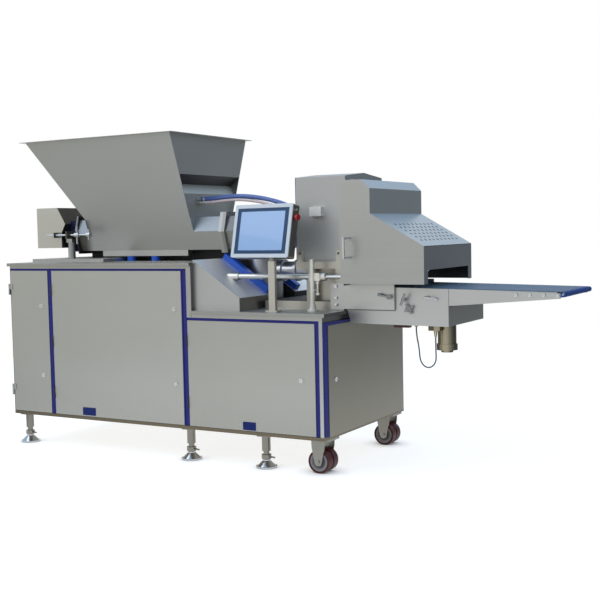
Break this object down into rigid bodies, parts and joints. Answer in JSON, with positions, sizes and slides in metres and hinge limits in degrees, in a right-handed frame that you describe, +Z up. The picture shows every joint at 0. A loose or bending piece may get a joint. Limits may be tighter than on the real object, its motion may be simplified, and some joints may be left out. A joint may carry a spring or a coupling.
{
  "type": "food forming machine",
  "caption": "Floor-standing food former: stainless cabinet, feed hopper over augers, pump, cavity drum under a perforated lift-up guard, outfeed belt and a touch screen on a post.",
  "frame": {"origin": "centre of the footprint on the floor", "axes": "+X to the outfeed end, +Y to the back, +Z up"},
  "size_m": [3.259, 0.994, 1.786],
  "materials": {
    "stainless": "satin",
    "seal_blue": "matte",
    "support_blue": "satin",
    "motor_grey": "satin",
    "motor_steel": "satin",
    "control_grey": "matte",
    "belt_blue": "matte",
    "cable_grey": "matte",
    "hose_blue": "gloss",
    "hose_clear": "gloss",
    "screen_case": "satin",
    "screen_face": "gloss",
    "stop_red": "gloss",
    "wheel_red": "satin"
  },
  "bodies": {
    "machine": {"base_frame": "stainless", "cabinet_panels": "stainless", "decks": "stainless", "end_panel": "stainless", "foot_sleeves": "stainless", "caster_forks": "stainless", "hopper_base": "stainless", "hopper_walls": "stainless", "auger_trough": "stainless", "inlet_housing": "stainless", "drive_hood": "stainless", "sloped_covers": "stainless", "push_rod_tubes": "stainless", "pump_body": "stainless", "screen_post": "stainless", "head_frame": "stainless", "head_cover": "stainless", "conveyor_arms": "stainless", "conveyor_frame": "stainless", "door_seals": "seal_blue", "blue_supports": "support_blue", "auger_gearmotor": "motor_grey", "pump_gearmotor": "motor_grey", "drum_gearmotor": "motor_grey", "belt_gearmotor": "motor_steel", "control_plate": "control_grey", "conveyor_belt": "belt_blue", "motor_cable": "cable_grey", "air_hose_upper": "hose_blue", "air_hose_lower": "hose_blue", "water_hose": "hose_clear"},
    "narrow_door": {"narrow_door": "stainless"},
    "wide_door": {"wide_door": "stainless"},
    "low_door": {"low_door": "stainless"},
    "narrow_lock_upper": {"narrow_lock_upper": "stainless"},
    "narrow_lock_lower": {"narrow_lock_lower": "stainless"},
    "wide_lock_upper": {"wide_lock_upper": "stainless"},
    "wide_lock_lower": {"wide_lock_lower": "stainless"},
    "low_lock": {"low_lock": "stainless"},
    "end_lock": {"end_lock": "stainless"},
    "auger_front": {"auger_front": "stainless"},
    "auger_back": {"auger_back": "stainless"},
    "pump_rotor": {"pump_rotor": "stainless"},
    "forming_drum": {"forming_drum": "stainless"},
    "drum_guard": {"drum_guard": "stainless"},
    "push_rods": {"push_rods": "stainless"},
    "drive_roller": {"drive_roller": "stainless"},
    "tail_roller": {"tail_roller": "stainless"},
    "nose_roller": {"nose_roller": "stainless"},
    "screen": {"screen_housing": "screen_case", "screen_panel": "screen_face"},
    "stop_button": {"stop_button": "stop_red"},
    "front_caster_wheels": {"front_caster_wheels": "wheel_red"},
    "back_caster_wheels": {"back_caster_wheels": "wheel_red"},
    "clamp_rod": {"clamp_rod": "stainless"},
    "arm_lever": {"arm_lever": "stainless"},
    "tension_lever": {"tension_lever": "stainless"},
    "tee_lever": {"tee_lever": "stainless"},
    "wing_screw": {"wing_screw": "stainless"},
    "levelling_feet": {"levelling_feet": "stainless"}
  },
  "joints": [
    {"name": "narrow_door_hinge", "type": "hinge", "parent": "machine", "child": "narrow_door", "pos_m": [-1.6228, -0.489, 0.325], "axis": [0, 0, -1], "range_deg": [0, 110]},
    {"name": "narrow_lock_upper_turn", "type": "hinge", "parent": "narrow_door", "child": "narrow_lock_upper", "pos_m": [-1.3775, -0.485, 0.826], "axis": [0, -1, 0], "range_deg": [0, 90]},
    {"name": "narrow_lock_lower_turn", "type": "hinge", "parent": "narrow_door", "child": "narrow_lock_lower", "pos_m": [-1.3775, -0.485, 0.42], "axis": [0, -1, 0], "range_deg": [0, 90]},
    {"name": "wide_door_hinge", "type": "hinge", "parent": "machine", "child": "wide_door", "pos_m": [-1.2975, -0.487, 0.325], "axis": [0, 0, -1], "range_deg": [0, 110]},
    {"name": "wide_lock_upper_turn", "type": "hinge", "parent": "wide_door", "child": "wide_lock_upper", "pos_m": [-0.4215, -0.485, 0.826], "axis": [0, -1, 0], "range_deg": [0, 90]},
    {"name": "wide_lock_lower_turn", "type": "hinge", "parent": "wide_door", "child": "wide_lock_lower", "pos_m": [-0.4215, -0.485, 0.42], "axis": [0, -1, 0], "range_deg": [0, 90]},
    {"name": "low_door_hinge", "type": "hinge", "parent": "machine", "child": "low_door", "pos_m": [-0.3425, -0.487, 0.325], "axis": [0, 0, -1], "range_deg": [0, 110]},
    {"name": "low_lock_turn", "type": "hinge", "parent": "low_door", "child": "low_lock", "pos_m": [0.3575, -0.485, 0.48], "axis": [0, -1, 0], "range_deg": [0, 90]},
    {"name": "end_lock_turn", "type": "hinge", "parent": "machine", "child": "end_lock", "pos_m": [0.4925, -0.37, 0.48], "axis": [-1, 0, 0], "range_deg": [0, 90]},
    {"name": "auger_front_spin", "type": "hinge", "parent": "machine", "child": "auger_front", "pos_m": [-0.9175, -0.08, 1.225], "axis": [1, 0, 0], "continuous": true},
    {"name": "auger_back_spin", "type": "hinge", "parent": "machine", "child": "auger_back", "pos_m": [-0.9175, 0.08, 1.225], "axis": [1, 0, 0], "continuous": true},
    {"name": "pump_rotor_spin", "type": "hinge", "parent": "machine", "child": "pump_rotor", "pos_m": [-0.1375, 0, 0.88], "axis": [0, 0, 1], "continuous": true},
    {"name": "drum_spin", "type": "hinge", "parent": "machine", "child": "forming_drum", "pos_m": [0.6725, 0, 1.115], "axis": [0, 1, 0], "continuous": true},
    {"name": "guard_lift", "type": "hinge", "parent": "machine", "child": "drum_guard", "pos_m": [0.4985, 0, 1.486], "axis": [0, -1, 0], "range_deg": [0, 75]},
    {"name": "push_rod_slide", "type": "slide", "parent": "machine", "child": "push_rods", "axis": [1, 0, 0], "range_m": [-0.01, 0]},
    {"name": "drive_roller_spin", "type": "hinge", "parent": "machine", "child": "drive_roller", "pos_m": [0.9225, 0, 0.888], "axis": [0, 1, 0], "continuous": true},
    {"name": "tail_roller_spin", "type": "hinge", "parent": "machine", "child": "tail_roller", "pos_m": [0.5475, 0, 0.917], "axis": [0, 1, 0], "continuous": true},
    {"name": "nose_roller_spin", "type": "hinge", "parent": "machine", "child": "nose_roller", "pos_m": [1.6165, 0, 0.914], "axis": [0, 1, 0], "continuous": true},
    {"name": "screen_swivel", "type": "hinge", "parent": "machine", "child": "screen", "pos_m": [0.1685, -0.43, 1.072], "axis": [0, 0, 1], "range_deg": [-35, 35]},
    {"name": "stop_button_press", "type": "slide", "parent": "screen", "child": "stop_button", "axis": [-0.9895, 0.1444, 0], "range_m": [0, 0.005], "stiffness_N_per_m": 1500},
    {"name": "front_caster_spin", "type": "hinge", "parent": "machine", "child": "front_caster_wheels", "pos_m": [0.4155, -0.375, 0.06], "axis": [0, 1, 0], "continuous": true},
    {"name": "back_caster_spin", "type": "hinge", "parent": "machine", "child": "back_caster_wheels", "pos_m": [0.4155, 0.4, 0.06], "axis": [0, 1, 0], "continuous": true},
    {"name": "clamp_rod_turn", "type": "hinge", "parent": "machine", "child": "clamp_rod", "pos_m": [-1.3175, -0.257, 1.235], "axis": [1, 0, 0], "continuous": true},
    {"name": "arm_lever_turn", "type": "hinge", "parent": "machine", "child": "arm_lever", "pos_m": [0.7515, -0.26, 0.894], "axis": [0, 1, 0], "range_deg": [-60, 60]},
    {"name": "tension_lever_turn", "type": "hinge", "parent": "machine", "child": "tension_lever", "pos_m": [0.8505, -0.247, 0.835], "axis": [0, 1, 0], "range_deg": [-60, 60]},
    {"name": "tee_lever_turn", "type": "hinge", "parent": "machine", "child": "tee_lever", "pos_m": [0.8295, -0.247, 0.882], "axis": [0, 1, 0], "range_deg": [-60, 60]},
    {"name": "wing_screw_turn", "type": "hinge", "parent": "machine", "child": "wing_screw", "pos_m": [0.9785, -0.247, 0.889], "axis": [0, 1, 0], "continuous": true},
    {"name": "levelling_feet_slide", "type": "slide", "parent": "machine", "child": "levelling_feet", "axis": [0, 0, -1], "range_m": [0, 0.025]}
  ],
  "couplings": [
    {"joint": "auger_back_spin", "follows": "auger_front_spin", "ratio": -1},
    {"joint": "tail_roller_spin", "follows": "drive_roller_spin", "ratio": 1.2143},
    {"joint": "nose_roller_spin", "follows": "drive_roller_spin", "ratio": 3.4}
  ]
}
